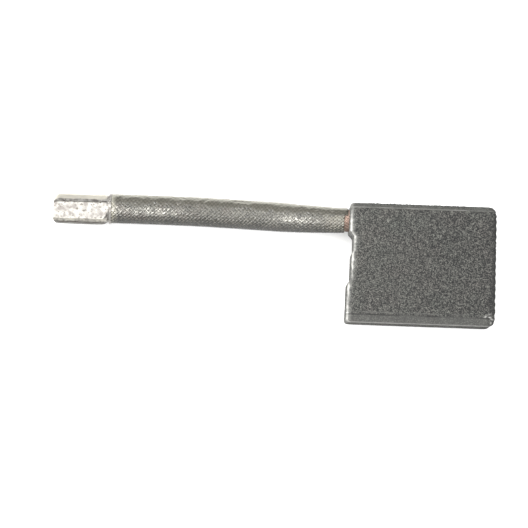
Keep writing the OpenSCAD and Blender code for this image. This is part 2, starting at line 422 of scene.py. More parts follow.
# Varnished glass fibre: grey glass, a satin film, brown where the varnish pools, 2.4 mm apart.
# Its threads and specks are far finer, and are drawn 0.07 and 0.15 mm so that they show.
glass, tree, shader = finish("varnished_glass_braid")
place = add(tree, "ShaderNodeTexCoord").outputs["Object"]
fibre = add(tree, "ShaderNodeAttribute", attribute_name="in_yarn").outputs["Vector"]
tint = add(tree, "ShaderNodeAttribute", attribute_name="yarn_tint").outputs["Fac"]
threads = add(
    tree, "ShaderNodeTexNoise", {"Vector": fibre, "Scale": 1 / 0.07143, "Detail": 2.0}
)
pools = add(tree, "ShaderNodeTexNoise", {"Vector": place, "Scale": spaced(2.381), "Detail": 4.0})
specks = add(
    tree, "ShaderNodeTexNoise", {"Vector": place, "Scale": spaced(0.1538), "Detail": 1.0}
)
tinted = add(tree, "ShaderNodeMath", {0: tint, 1: 0.35, 2: -0.95}, operation="MULTIPLY_ADD")
light = add(tree, "ShaderNodeMath", {0: threads, 1: 1.1, 2: tinted}, operation="MULTIPLY_ADD")
light = add(tree, "ShaderNodeMath", {0: specks, 1: 1.4, 2: light}, operation="MULTIPLY_ADD")
body = add(
    tree,
    "ShaderNodeMix",
    {"Factor": light, 6: paint("#201f1b"), 7: paint("#6a685f")},
    data_type="RGBA",
    clamp_factor=True,
)
brown = add(
    tree,
    "ShaderNodeMapRange",
    {"Value": pools.outputs["Fac"], "From Min": 0.52, "From Max": 0.72, "To Max": 0.5},
)
# Paler where the braid is dry at its two ends, and darker with painted shade on the far side
axes = add(tree, "ShaderNodeSeparateXYZ", {"Vector": place}).outputs
aim_y = add(
    tree,
    "ShaderNodeSeparateXYZ",
    {"Vector": add(tree, "ShaderNodeTexCoord").outputs["Normal"]},
).outputs["Y"]
dry = add(
    tree,
    "ShaderNodeMapRange",
    {"Value": axes["X"], "From Min": -0.0138, "From Max": -0.0118, "To Max": 0.25},
)
dry = add(
    tree,
    "ShaderNodeMapRange",
    {"Value": axes["X"], "From Min": -0.0418, "From Max": -0.041, "To Min": 0.6, "To Max": dry},
)
painted_shade = add(
    tree,
    "ShaderNodeMapRange",
    {"Value": aim_y, "From Min": -0.35, "From Max": -0.85, "To Max": 0.9},
)
# Both ends of the sleeve were dipped a second time against fraying, and shine more
dipped = add(
    tree,
    "ShaderNodeMapRange",
    {"Value": axes["X"], "From Min": -0.0335, "From Max": -0.0315, "To Min": 0.2, "To Max": 0.42},
)
dipped = add(
    tree,
    "ShaderNodeMapRange",
    {
        "Value": axes["X"],
        "From Min": -0.0205,
        "From Max": -0.0185,
        "To Min": dipped,
        "To Max": 0.2,
    },
)
matt = add(
    tree,
    "ShaderNodeMapRange",
    {"Value": aim_y, "From Min": -0.2, "From Max": -0.7, "To Min": dipped, "To Max": 0.75},
)
tree.links.new(matt.outputs[0], shader.inputs["Roughness"])
shader.inputs["IOR"].default_value = 1.55
shader.inputs["Coat Weight"].default_value = 0.3
shader.inputs["Coat Roughness"].default_value = 0.12
# There a painted highlight glints white on the threads, in a band above and below only
shine = add(tree, "ShaderNodeMapRange", {"Value": dipped, "From Min": 0.42, "From Max": 0.2})
shine = add(
    tree,
    "ShaderNodeMapRange",
    {"Value": axes["X"], "From Min": -0.0148, "From Max": -0.0135, "To Min": shine, "To Max": 0.1},
)
glint = add(
    tree,
    "ShaderNodeMapRange",
    {"Value": threads.outputs["Fac"], "From Min": 0.5, "From Max": 0.68, "To Max": shine},
)
lies = add(tree, "ShaderNodeAttribute", attribute_name="to_lead_side").outputs["Fac"]
painted_glint = add(
    tree, "ShaderNodeMapRange", {"Value": lies, "From Min": -0.5, "From Max": -0.3, "To Max": glint}
)
painted_glint = add(
    tree, "ShaderNodeMapRange", {"Value": lies, "From Min": 0.12, "From Max": 0.0, "To Max": painted_glint}
)
for share, colour in (
    (brown, "#4d423b"), (dry, "#a5a191"), (painted_shade, "#0c0c0a"), (painted_glint, "#c9c6bc"),
):  # fmt: skip
    body = add(
        tree,
        "ShaderNodeMix",
        {"Factor": share, 6: body.outputs[2], 7: paint(colour)},
        data_type="RGBA",
    )
tree.links.new(body.outputs[2], shader.inputs["Base Color"])
bump = add(tree, "ShaderNodeBump", {"Strength": 0.8, "Distance": 0.00005, "Height": threads})
tree.links.new(bump.outputs["Normal"], shader.inputs["Normal"])

# The braid: each yarn is a line bent round the lead's route, over and under the yarns that run
# the other way, and given a flat section
tree, given, out = nodes_with(
    "braid",
    {
        "Start": "Float", "End": "Float", "Before": "Float", "Stations": "Int",
        "Outer Diameter": "Float", "Neck Diameter": "Float", "Neck Length": "Float",
        "Yarns Each Way": "Int", "Lay": "Float", "Yarn Width": "Float",
        "Yarn Thickness": "Float", "Rise": "Float", "Wander": "Float", "Slant": "Float",
        "Slant Length": "Float", "Seed": "Int", "Fibre": "Material",
    },
)  # fmt: skip
route = add(tree, "GeometryNodeMeshToCurve", {"Mesh": given["Mesh"]}).outputs[0]
route = add(
    tree, "GeometryNodeCurveSplineType", {"Curve": route}, spline_type="CATMULL_ROM"
).outputs[0]
yarn = add(tree, "GeometryNodeCurvePrimitiveLine", {"End": (1, 0, 0)}).outputs[0]
yarn = add(
    tree, "GeometryNodeResampleCurve", {"Curve": yarn, "Count": given["Stations"]}, mode="COUNT"
).outputs[0]
doubled = add(tree, "ShaderNodeMath", {0: given["Yarns Each Way"], 1: 2}, operation="MULTIPLY")
copies = add(
    tree,
    "GeometryNodeDuplicateElements",
    {"Geometry": yarn, "Amount": doubled},
    domain="SPLINE",
)
# Every other yarn is wound the other way, -1 or 1, and each way has its own count round
number = copies.outputs["Duplicate Index"]
odd = add(tree, "ShaderNodeMath", {0: number, 1: 2}, operation="FLOORED_MODULO")
way = add(tree, "ShaderNodeMath", {0: odd, 1: 2, 2: -1}, operation="MULTIPLY_ADD")
order = add(tree, "ShaderNodeMath", {0: number, 1: 0.5}, operation="MULTIPLY")
order = add(tree, "ShaderNodeMath", {0: order}, operation="FLOOR")
# How far out from the block each of its stations lies
station = add(tree, "GeometryNodeSplineParameter").outputs["Index"]
last = add(tree, "ShaderNodeMath", {0: given["Stations"], 1: 1}, operation="SUBTRACT")
share = add(tree, "ShaderNodeMath", {0: station, 1: last}, operation="DIVIDE")
whole = add(tree, "ShaderNodeMath", {0: given["End"], 1: given["Start"]}, operation="SUBTRACT")
reach = add(tree, "ShaderNodeMath", {0: share, 1: whole}, operation="MULTIPLY")
away_by = add(tree, "ShaderNodeMath", {0: reach, 1: given["Start"]}, operation="ADD")
# How far it lies from the lead's middle, with its wave over one yarn and under the next
neck_r, sleeve_r, half_yarn = (
    add(tree, "ShaderNodeMath", {0: given[name], 1: 0.5}, operation="MULTIPLY")
    for name in ("Neck Diameter", "Outer Diameter", "Yarn Thickness")
)
radius = add(
    tree,
    "ShaderNodeMapRange",
    {
        "Value": away_by,
        "From Min": given["Start"],
        "From Max": given["Neck Length"],
        "To Min": neck_r,
        "To Max": sleeve_r,
    },
)
angle = add(tree, "ShaderNodeMath", {0: away_by, 1: math.tau}, operation="MULTIPLY")
angle = add(tree, "ShaderNodeMath", {0: angle, 1: given["Lay"]}, operation="DIVIDE")
wave = add(tree, "ShaderNodeMath", {0: angle, 1: given["Yarns Each Way"]}, operation="MULTIPLY")
wave = add(tree, "ShaderNodeMath", {0: wave}, operation="COSINE")
wave = add(tree, "ShaderNodeMath", {0: wave, 1: way}, operation="MULTIPLY")
wave = add(tree, "ShaderNodeMath", {0: wave, 1: given["Rise"]}, operation="MULTIPLY")
radius = add(tree, "ShaderNodeMath", {0: radius, 1: given["Rise"]}, operation="SUBTRACT")
radius = add(tree, "ShaderNodeMath", {0: radius, 1: half_yarn}, operation="SUBTRACT")
radius = add(tree, "ShaderNodeMath", {0: radius, 1: wave}, operation="ADD")
# How far round it lies. No yarn is quite where the braiding machine aimed it: each sways, over
# every 1.1 mm or so.
turned = add(tree, "ShaderNodeMath", {0: angle, 1: way}, operation="MULTIPLY")
first = add(tree, "ShaderNodeMath", {0: order, 1: math.tau}, operation="MULTIPLY")
first = add(tree, "ShaderNodeMath", {0: first, 1: given["Yarns Each Way"]}, operation="DIVIDE")
round_by = add(tree, "ShaderNodeMath", {0: turned, 1: first}, operation="ADD")
own = add(tree, "ShaderNodeMath", {0: number, 1: 7.3}, operation="MULTIPLY")
sway = add(tree, "ShaderNodeMath", {0: away_by, 1: 900.0, 2: own}, operation="MULTIPLY_ADD")
sway = add(
    tree, "ShaderNodeTexNoise", {"W": sway, "Scale": 1.0, "Detail": 0.0}, noise_dimensions="1D"
)
sway = add(tree, "ShaderNodeMath", {0: sway, 1: 0.5}, operation="SUBTRACT")
round_by = add(
    tree, "ShaderNodeMath", {0: sway, 1: given["Wander"], 2: round_by}, operation="MULTIPLY_ADD"
)
# From those three, its place
along = add(tree, "ShaderNodeMath", {0: away_by, 1: given["Before"]}, operation="ADD")
at = add(tree, "GeometryNodeSampleCurve", {"Curves": route, "Length": along}, mode="LENGTH")
tangent, normal = at.outputs["Tangent"], at.outputs["Normal"]
across = add(
    tree, "ShaderNodeVectorMath", {0: tangent, 1: normal}, operation="CROSS_PRODUCT"
).outputs[0]
arms = []
for arm, part in ((normal, "COSINE"), (across, "SINE")):
    much = add(tree, "ShaderNodeMath", {0: round_by}, operation=part)
    arms.append(add(tree, "ShaderNodeVectorMath", {0: arm, "Scale": much}, operation="SCALE"))
outward = add(tree, "ShaderNodeVectorMath", {0: arms[0], 1: arms[1]}, operation="ADD")
raised = add(tree, "ShaderNodeVectorMath", {0: outward, "Scale": radius}, operation="SCALE")
spot = add(
    tree, "ShaderNodeVectorMath", {0: at.outputs["Position"], 1: raised}, operation="ADD"
)
# The end by the block was cut at a slant, so the lead side reaches further
lead_side = add(tree, "ShaderNodeSeparateXYZ", {"Vector": outward}).outputs["Y"]
further = add(
    tree,
    "ShaderNodeMapRange",
    {"Value": lead_side, "From Min": slant_from, "From Max": slant_full, "To Max": given["Slant"]},
)
in_by = add(tree, "ShaderNodeMath", {0: away_by, 1: given["Start"]}, operation="SUBTRACT")
further = add(
    tree,
    "ShaderNodeMapRange",
    {"Value": in_by, "From Max": given["Slant Length"], "To Min": further, "To Max": 0.0},
)
further = add(tree, "ShaderNodeVectorMath", {0: tangent, "Scale": further}, operation="SCALE")
spot = add(tree, "ShaderNodeVectorMath", {0: spot, 1: further}, operation="SUBTRACT")
yarns = add(
    tree, "GeometryNodeSetPosition", {"Geometry": copies.outputs["Geometry"], "Position": spot}
).outputs[0]
yarns = add(
    tree, "GeometryNodeSetCurveNormal", {"Curve": yarns, "Normal": outward}, mode="FREE"
).outputs[0]
dealt = add(
    tree, "FunctionNodeRandomValue", {"ID": number, "Seed": given["Seed"]}, data_type="FLOAT"
).outputs[1]
for name, value in [("out_along", away_by), ("to_lead_side", lead_side), ("yarn_tint", dealt)]:
    yarns = add(
        tree,
        "GeometryNodeStoreNamedAttribute",
        {"Geometry": yarns, "Name": name, "Value": value},
    ).outputs[0]
# A yarn's flat section, and where each spot lies in its yarn, drawn out long along it
section = add(
    tree,
    "ShaderNodeCombineXYZ",
    {"X": given["Yarn Thickness"], "Y": given["Yarn Width"], "Z": 1.0},
)
flat = add(
    tree, "GeometryNodeCurvePrimitiveCircle", {"Resolution": 6, "Radius": 0.5}, mode="RADIUS"
).outputs[0]
flat = add(tree, "GeometryNodeTransform", {"Geometry": flat, "Scale": section}).outputs[0]
spot = add(tree, "GeometryNodeInputPosition")
millimetres = add(tree, "ShaderNodeVectorMath", {0: spot, "Scale": 1000.0}, operation="SCALE")
flat = add(
    tree,
    "GeometryNodeStoreNamedAttribute",
    {"Geometry": flat, "Name": "in_round", "Value": millimetres},
    data_type="FLOAT_VECTOR",
).outputs[0]
braid = add(
    tree,
    "GeometryNodeCurveToMesh",
    {"Curve": yarns, "Profile Curve": flat, "Fill Caps": True},
).outputs[0]
along, own, round_ = (
    add(tree, "GeometryNodeInputNamedAttribute", {"Name": name}, data_type=kind).outputs[0]
    for name, kind in (("out_along", "FLOAT"), ("yarn_tint", "FLOAT"), ("in_round", "FLOAT_VECTOR"))
)
shift = add(tree, "ShaderNodeMath", {0: own, 1: 50.0}, operation="MULTIPLY")
far = add(tree, "ShaderNodeMath", {0: along, 1: 90.0}, operation="MULTIPLY")
shift = add(tree, "ShaderNodeCombineXYZ", {"X": shift, "Z": far})
stretch = add(tree, "ShaderNodeVectorMath", {0: round_, 1: shift}, operation="ADD")
braid = add(
    tree,
    "GeometryNodeStoreNamedAttribute",
    {"Geometry": braid, "Name": "in_yarn", "Value": stretch},
    data_type="FLOAT_VECTOR",
).outputs[0]
braid = add(tree, "GeometryNodeSetShadeSmooth", {"Geometry": braid}).outputs[0]
braid = add(tree, "GeometryNodeRealizeInstances", {"Geometry": braid}).outputs[0]
braid = add(
    tree, "GeometryNodeSetMaterial", {"Geometry": braid, "Material": given["Fibre"]}
).outputs[0]
tree.links.new(braid, out)

start = bpy.data.meshes.new("lead_line")
start.from_pydata(lead_route, [(i, i + 1) for i in range(len(lead_route) - 1)], [])
braid = piece_of(
    "glass_braid",
    grown(
        "glass_braid",
        start,
        tree,
        {
            "Start": sleeve_starts, "End": sleeve_ends + tucked, "Before": in_block,
            "Stations": 320, "Wander": 0.2, "Slant": slant, "Slant Length": slant_l,
            "Outer Diameter": sleeve_d, "Neck Diameter": neck_d, "Neck Length": neck_l,
            "Yarns Each Way": yarns_each_way, "Lay": braid_lay, "Yarn Width": yarn_wide,
            "Yarn Thickness": yarn_thick, "Rise": yarn_rise, "Seed": 3, "Fibre": glass,
        },
    ),
)  # fmt: skip

# The varnish that fills the braid from inside, and covers it where it ran to one side. The
# yarns show through it as low crowns, its fuzz of glass fibre gives a sheen at the edge, and a
# highlight is painted along the edge on the lead side.
# Where it pooled is given in degrees up from the lead side, and its own clouds are 0.6 mm.
pool_side, pool_thick, crown_rise, inside = 22, 0.00013, 0.00003, 0.0015
film, tree, shader = finish("brown_grey_varnish")
place = add(tree, "ShaderNodeTexCoord").outputs["Object"]
clouds = add(tree, "ShaderNodeTexNoise", {"Vector": place, "Scale": spaced(0.625), "Detail": 4.0})
tone = add(
    tree,
    "ShaderNodeMix",
    {"Factor": clouds.outputs["Fac"], 6: paint("#1a1915"), 7: paint("#3c3a33")},
    data_type="RGBA",
)
crown = add(tree, "ShaderNodeAttribute", attribute_name="crown").outputs["Fac"]
yarns_through = add(tree, "ShaderNodeMath", {0: crown, 1: 0.52}, operation="MULTIPLY")
faces = add(
    tree,
    "ShaderNodeSeparateXYZ",
    {"Vector": add(tree, "ShaderNodeTexCoord").outputs["Normal"]},
).outputs
# A painted highlight on the lead side just above its outer edge, and paler by the ferrule
pale_end_and_painted_light = add(
    tree,
    "ShaderNodeMapRange",
    {"Value": faces["Z"], "From Min": 0.0, "From Max": 0.3, "To Max": 0.45},
)
pale_end_and_painted_light = add(
    tree,
    "ShaderNodeMapRange",
    {"Value": faces["Y"], "From Min": 0.64, "From Max": 0.9, "To Max": pale_end_and_painted_light},
)
pale_end_and_painted_light = add(
    tree,
    "ShaderNodeMapRange",
    {
        "Value": add(tree, "ShaderNodeSeparateXYZ", {"Vector": place}).outputs["X"],
        "From Min": -0.0419,
        "From Max": -0.0413,
        "To Min": 0.5,
        "To Max": pale_end_and_painted_light,
    },
)
# Painted shade on the far side
painted_shade = add(
    tree,
    "ShaderNodeMapRange",
    {"Value": faces["Y"], "From Min": -0.35, "From Max": -0.85, "To Max": 0.9},
)
for share, colour in ((yarns_through, "#6a675c"), (pale_end_and_painted_light, "#a3a194"), (painted_shade, "#0c0c0a")):
    tone = add(
        tree,
        "ShaderNodeMix",
        {"Factor": share, 6: tone.outputs[2], 7: paint(colour)},
        data_type="RGBA",
    )
tree.links.new(tone.outputs[2], shader.inputs["Base Color"])
shader.inputs["Roughness"].default_value = 0.45
shader.inputs["IOR"].default_value = 1.5
shader.inputs["Sheen Weight"].default_value = 0.4
shader.inputs["Sheen Roughness"].default_value = 0.35
shader.inputs["Sheen Tint"].default_value = paint("#e6e4da")
bump = add(tree, "ShaderNodeBump", {"Strength": 0.4, "Distance": 0.00004, "Height": clouds})
tree.links.new(bump.outputs["Normal"], shader.inputs["Normal"])


def on_route(out):
    """Point and direction of the lead, so far out from the block in metres."""
    here, ahead = (
        np.array([np.interp(d, run, column) for column in close_route.T])
        for d in (out, out + 0.0005)
    )
    return Vector(here), Vector(ahead - here).normalized()


def pooled(a, out_by):
    """How full of varnish the braid is at an angle round the sleeve, from 0 to 1."""
    # The pool wanders to either side over every 3 mm or so, and its rim is ragged over 0.7 mm
    wander = 0.3 * noise.noise(Vector((out_by * 300, 2, 0)))
    near = math.cos(a - math.radians(pool_side) + wander)
    near = near + 0.25 * noise.noise(Vector((out_by * 1500, a * 4, 7)))
    return min(max((near - 0.6) / 0.4, 0), 1)


def crown_at(a, out_by):
    """How near a yarn's crown a place on the braid is, from 0 to 1."""
    turned = math.tau * out_by / braid_lay
    over = (1 + math.cos(yarns_each_way * turned)) / 2
    one = math.cos(yarns_each_way * (a - turned) / 2) ** 2 * over
    other = math.cos(yarns_each_way * (a + turned) / 2) ** 2 * (1 - over)
    return max(one, other)


# Rings of corners from end to end, just short of the braid's own ends
sides, rings = 132, 300
around = np.linspace(0, math.tau, sides, endpoint=False)
outer, inner, crowns = [], [], []
for out_by in np.linspace(sleeve_starts + 0.00004, sleeve_ends - 0.00002, rings):
    here, ahead = on_route(out_by)
    side = ahead.cross(Vector((0, 0, 1))).normalized()
    level = np.interp(out_by, [sleeve_starts, neck_l], [neck_d, sleeve_d]) / 2 - 2 * yarn_rise
    cut = slant * np.interp(out_by - sleeve_starts, [0, slant_l], [1, 0])
    for a in around:
        arm = side * math.cos(a) + side.cross(ahead) * math.sin(a)
        drawn_back = cut * np.interp(math.cos(a), [slant_from, slant_full], [0, 1])
        start = here - ahead * float(drawn_back)
        crowns.append(crown_at(a, out_by))
        rise = pool_thick * pooled(a, out_by) + crown_rise * crowns[-1]
        outer.append(start + arm * (level + rise))
        inner.append(start + arm * inside)
count = 2 * len(outer) // sides
inner = [p for r in range(count // 2)[::-1] for p in inner[r * sides : (r + 1) * sides]]
film_mesh = bpy.data.meshes.new("sleeve_varnish")
film_mesh.from_pydata(
    outer + inner,
    [],
    [
        (
            r * sides + s,
            r * sides + (s + 1) % sides,
            (r + 1) % count * sides + (s + 1) % sides,
            (r + 1) % count * sides + s,
        )
        for r in range(count)
        for s in range(sides)
    ],
)
film_mesh.attributes.new("crown", "FLOAT", "POINT").data.foreach_set(
    "value", crowns + [0.0] * len(inner)
)
film_mesh.materials.append(film)
film_mesh.shade_smooth()
tidy = bmesh.new()
tidy.from_mesh(film_mesh)
bmesh.ops.recalc_face_normals(tidy, faces=tidy.faces)
tidy.to_mesh(film_mesh)
tidy.free()
varnish = piece_of("sleeve_varnish", film_mesh)
for piece in (braid, varnish):
    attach(piece, "root")
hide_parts("braided_sleeve")


# ---- The ferrule ---------------------------------------------------------------------------
# A short copper tube, tin-plated, crimped hard over the strands into a flat-topped bar. The
# press leaves it dented, and the plating is scuffed and pitted where the tool slid.


def recut(node, voxel, eased):
    """Corners and mesh of a CAD node's copy in millimetres, cut into even faces and eased."""
    copy = bpy.data.objects.new("copy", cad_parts[node].data.copy())
    scene.collection.objects.link(copy)
    work = bmesh.new()
    work.from_mesh(copy.data)
    bmesh.ops.remove_doubles(work, verts=work.verts, dist=1e-7)
    bmesh.ops.scale(work, vec=(1000, 1000, 1000), verts=work.verts)
    work.to_mesh(copy.data)
    work.free()
    cutter = copy.modifiers.new("recut", "REMESH")
    cutter.mode, cutter.voxel_size = "VOXEL", voxel
    made = bpy.data.meshes.new_from_object(
        copy.evaluated_get(bpy.context.evaluated_depsgraph_get())
    )
    bpy.data.objects.remove(copy)
    made.materials.clear()
    edges = np.empty(len(made.edges) * 2, int)
    made.edges.foreach_get("vertices", edges)
    a, b = edges[0::2], edges[1::2]
    spots = np.empty(len(made.vertices) * 3)
    made.vertices.foreach_get("co", spots)
    spots = spots.reshape(-1, 3)
    share = np.bincount(a, minlength=len(spots)) + np.bincount(b, minlength=len(spots))

    def pull(values):
        """How far each corner's value lies from the mean of its neighbours'."""
        mean = np.stack(
            [
                np.bincount(a, column[b], len(spots)) + np.bincount(b, column[a], len(spots))
                for column in values.T
            ],
            1,
        )
        return mean / share[:, None] - values

    for _ in range(eased):
        spots = spots + 0.5 * pull(spots)
        spots = spots - 0.52 * pull(spots)
    return made, spots, pull


def facing(mesh, spots):
    """Each corner's outward direction, with the mesh's corners at these places."""
    mesh.vertices.foreach_set("co", spots.astype(np.float32).ravel())
    mesh.update()
    normals = np.empty(len(spots) * 3)
    mesh.vertex_normals.foreach_get("vector", normals)
    return normals.reshape(-1, 3)


def clouds_at(spots, size, seed):
    """Smooth noise from -1 to 1 at each place, with lumps of this size in millimetres."""
    shift = Vector((seed * 17.3, seed * 5.1, seed * 9.7))
    return np.array([noise.noise(Vector(p) / size + shift) for p in spots])


def settled(name, mesh, spots, material):
    """The piece made of this mesh, its corners at these places in millimetres."""
    mesh.vertices.foreach_set("co", (spots / 1000).astype(np.float32).ravel())
    mesh.update()
    mesh.materials.append(material)
    mesh.shade_smooth()
    mesh.name = name
    return piece_of(name, mesh)


# Tin plating on copper: paler and more matt where it was scuffed, in patches 0.7 mm apart,
# with dark pits 0.3 mm apart, bright along the rubbed edges with a painted highlight, and
# darker with painted shade beside and below them
tin, tree, shader = finish("scuffed_tin_plating")
place = add(tree, "ShaderNodeTexCoord").outputs["Object"]
worn = add(tree, "ShaderNodeTexNoise", {"Vector": place, "Scale": spaced(0.6667), "Detail": 4.0})
pits = add(tree, "ShaderNodeTexNoise", {"Vector": place, "Scale": spaced(0.2778), "Detail": 1.0})
scuffed = add(tree, "ShaderNodeMapRange", {"Value": worn, "From Min": 0.36, "From Max": 0.6})
tone = add(
    tree,
    "ShaderNodeMix",
    {"Factor": scuffed, 6: paint("#716d69"), 7: paint("#a3a19c")},
    data_type="RGBA",
)
hole = add(tree, "ShaderNodeMapRange", {"Value": pits, "From Min": 0.6, "From Max": 0.7})
wear_and_highlight, shade_on_tin = (
    add(tree, "ShaderNodeAttribute", attribute_name=mark).outputs["Fac"]
    for mark in ("polish_and_highlight", "tin_painted_shade")
)
for share, colour in ((hole, "#5c5852"), (wear_and_highlight, "#c2beb3"), (shade_on_tin, "#45423b")):
    tone = add(
        tree,
        "ShaderNodeMix",
        {"Factor": share, 6: tone.outputs[2], 7: paint(colour)},
        data_type="RGBA",
    )
tree.links.new(tone.outputs[2], shader.inputs["Base Color"])
shader.inputs["Metallic"].default_value = 1.0
gloss = add(
    tree,
    "ShaderNodeMapRange",
    {"Value": worn, "From Min": 0.3, "From Max": 0.7, "To Min": 0.42, "To Max": 0.6},
)
tree.links.new(gloss.outputs[0], shader.inputs["Roughness"])
bump = add(tree, "ShaderNodeBump", {"Strength": 0.5, "Distance": 0.00006, "Height": pits})
tree.links.new(bump.outputs["Normal"], shader.inputs["Normal"])

# In millimetres: the bar's middle line, where it starts beyond the rim, and how far aside the
# press left it; then where the free corner is nipped from, over what length and how far in
bar_middle, bar_starts, bar_aside = 6.5, -42.4, 0.15
nip_from, nip_l, nip_in = -48.9, 0.85, 0.55
mesh, spots, _ = recut("ferrule", 0.06, 3)
normals = facing(mesh, spots)
dents = 0.035 * clouds_at(spots, 1.3, 1) + 0.012 * clouds_at(spots, 0.4, 2)
spots = spots + normals * (dents - 0.01)[:, None]
# The crimp's edges are rubbed bright and given a painted highlight, and painted shade lies
# beside the one and under the other
aside = spots[:, 1] - bar_middle
ripple = 0.1 * clouds_at(spots, 0.5, 8)
on_bar = np.clip((bar_starts - 0.1 - spots[:, 0]) / 0.1, 0, 1)
above = np.clip((spots[:, 2] - 2.2) / 0.3, 0, 1)
polish_and_highlight = np.clip((aside - 1.18 + ripple) / 0.12, 0, 1)
lower_edge = np.clip((0.24 - np.abs(aside + 1.58 + 0.9 * ripple)) / 0.12, 0, 1)
polish_and_highlight = polish_and_highlight + lower_edge * np.clip(0.62 + 0.9 * clouds_at(spots, 0.32, 11), 0.15, 1)
polish_and_highlight = polish_and_highlight * on_bar * above
# Painted shade below the lower edge on the far side, and in a band beside the upper edge
tin_painted_shade = np.clip((-1.8 - aside + 0.5 * ripple) / 0.1, 0, 1)
tin_painted_shade = tin_painted_shade + 0.55 * np.exp(-(((aside - 0.84 + ripple) / 0.09) ** 2)) * above
tin_painted_shade = tin_painted_shade * on_bar
for mark, values in (("polish_and_highlight", polish_and_highlight), ("tin_painted_shade", tin_painted_shade)):
    mesh.attributes.new(mark, "FLOAT", "POINT").data.foreach_set(
        "value", values.astype(np.float32)
    )
# The crimped bar came out of the press a little to one side of its rim, and the free end's
# corner on the lead side was nipped round when the bar was cut off
spots[:, 1] -= bar_aside * np.clip((bar_starts - spots[:, 0]) / 0.9, 0, 1)
nipped = np.clip((nip_from - spots[:, 0]) / nip_l, 0, 1) ** 2 * np.clip(aside / 1.9, 0, 1)
spots[:, 1] -= nip_in * nipped
ferrule = settled("tinned_ferrule", mesh, spots, tin)
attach(ferrule, "root")
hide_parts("ferrule")

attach(lead, "root")
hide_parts("copper_lead")


# ---- The block -----------------------------------------------------------------------------
# Copper and graphite powder, pressed to shape round the lead and sintered. It comes out of
# the die dark grey and gritty, with smooth bevels that the punches leave and thin lines along
# them, and edges at the spring end rubbed bright by handling, with a painted highlight.

# In millimetres: how far in and how deep the spring end's edges are worn, and the contact
# end's corner; where the thin lines along the bevels lie, and the far edge; half the block's sizes
rear_roll, rear_drop = 0.95, 0.3
corner_roll, corner_in = 0.75, 0.42
far_line, far_edge, lead_line = -6.93, -7.98, 7.4
half_wide, half_thick = 8, 4

mesh, spots, pull = recut("brush_block", 0.118, 3)
normals = facing(mesh, spots)
bent = -(pull(spots) * normals).sum(1)  # above 0 where the surface is convex
for _ in range(2):
    bent = bent + 0.5 * pull(bent[:, None])[:, 0]
crumbs = clouds_at(spots, 0.5, 5)
x, y, z = spots.T
height = np.abs(z - half_thick)
# The block's width in strips of an eighth of a millimetre, and how far from the middle an
# end's wall may start
strips = np.linspace(-half_wide, half_wide, 129)
end_from = 8


def in_from(way, reach):
    """How far each corner lies in from the end that looks this way along the block."""
    wall = (height < reach) & (way * x > end_from)
    strip = np.clip(np.searchsorted(strips, y[wall]), 0, len(strips) - 1)
    out_to = np.zeros(len(strips))
    np.maximum.at(out_to, strip, way * x[wall])
    met = out_to > 0
    return np.interp(y, strips[met], out_to[met]) - way * x


# The spring seat steps the one end back, and ridges stick out of the other. The walls are
# taken where they are whole, this far above and below half height.
in_from_end, in_from_face = in_from(-1, 2.5), in_from(1, 3)

# The spring end's edges are rolled over by wear, most of all at the corners
rolled = np.clip(1 - in_from_end / rear_roll, 0, 1) ** 2 * np.clip((height - 2.6) / 1.2, 0, 1)
lower = -np.sign(z - half_thick) * rear_drop * rolled

# The contact end's corner on the lead side is rounded off too
corner = np.clip(1 - in_from_face / corner_roll, 0, 1) ** 2 * np.clip((y - 6.2) / 1.6, 0, 1)

# The lead side's edge crumbled a little as the block left the die
crumbly = np.clip(1 - np.hypot(y - 7.9, height - 3.55) / 0.5, 0, 1) * (np.abs(x + 1) < 6.5)
lift = 0.01 * clouds_at(spots, 0.4, 3) + 0.012 * clouds_at(spots, 1.8, 4)
fine = clouds_at(spots, 0.22, 6)
chips = np.clip(bent / 0.012, 0, 1) * np.clip(crumbs - 0.25, 0, 1) * 0.2
chips = chips + crumbly * (fine + 0.35 * crumbs) * 0.16

# Small chips at the contact end's upper far corner, with curls of metal pushed up beside them:
# each one's place, half length, half width, turn in degrees and strength
chipped = [(9.1, -6.62, 0.26, 0.13, 8, 1), (9.2, -7.02, 0.2, 0.1, -15, 0.8)]
curled = [
    (8.68, -6.7, 0.2, 0.09, 35, 0.8), (9.38, -6.92, 0.34, 0.09, -30, 1),
    (9.15, -6.38, 0.26, 0.08, 5, 0.4), (9.4, -7.5, 0.1, 0.16, 0, 0.5),
]  # fmt: skip
hollow, curl = (
    sum(
        much
        * np.exp(
            -(((math.cos(t) * (x - cx) + math.sin(t) * (y - cy)) / long) ** 2)
            - ((math.cos(t) * (y - cy) - math.sin(t) * (x - cx)) / wide) ** 2
        )
        for cx, cy, long, wide, turn, much in marks
        for t in [math.radians(turn)]
    )
    * (z > 6.2)
    for marks in (chipped, curled)
)

# A chip is 0.18 mm deep, and a curl stands 0.05 mm out
spots = spots + normals * (lift - chips - 0.18 * hollow + 0.05 * curl)[:, None]
spots[:, 2] += lower
spots[:, 1] -= corner_in * corner

# Bright where it is rubbed, with a painted highlight: along the spring end, fading inwards;
# a painted highlight on the curls, and a painted highlight line along the far edge
coarse = clouds_at(spots, 2.2, 9)
end_wear_and_highlight = 0.84 * np.exp(-(((in_from_end - 0.2) / (0.105 + 0.04 * crumbs)) ** 2))
end_wear_and_highlight = end_wear_and_highlight + 0.2 * np.exp(-(((in_from_end - 0.25) / 0.4) ** 2))
end_wear_and_highlight = end_wear_and_highlight * np.clip((height - 2.9) / 0.6, 0, 1)
end_wear_and_highlight = end_wear_and_highlight * np.clip((7.4 - y) / 1.6, 0.1, 1)
wear_and_highlight = 0.5 * np.clip(bent / 0.03, 0, 1) * np.clip(in_from_end * -2 + 1.4, 0, 1)
uneven = 0.45 + 0.5 * crumbs + 0.3 * fine + 0.5 * coarse
wear_and_highlight = np.maximum(wear_and_highlight, end_wear_and_highlight * np.clip(uneven, 0.08, 1))
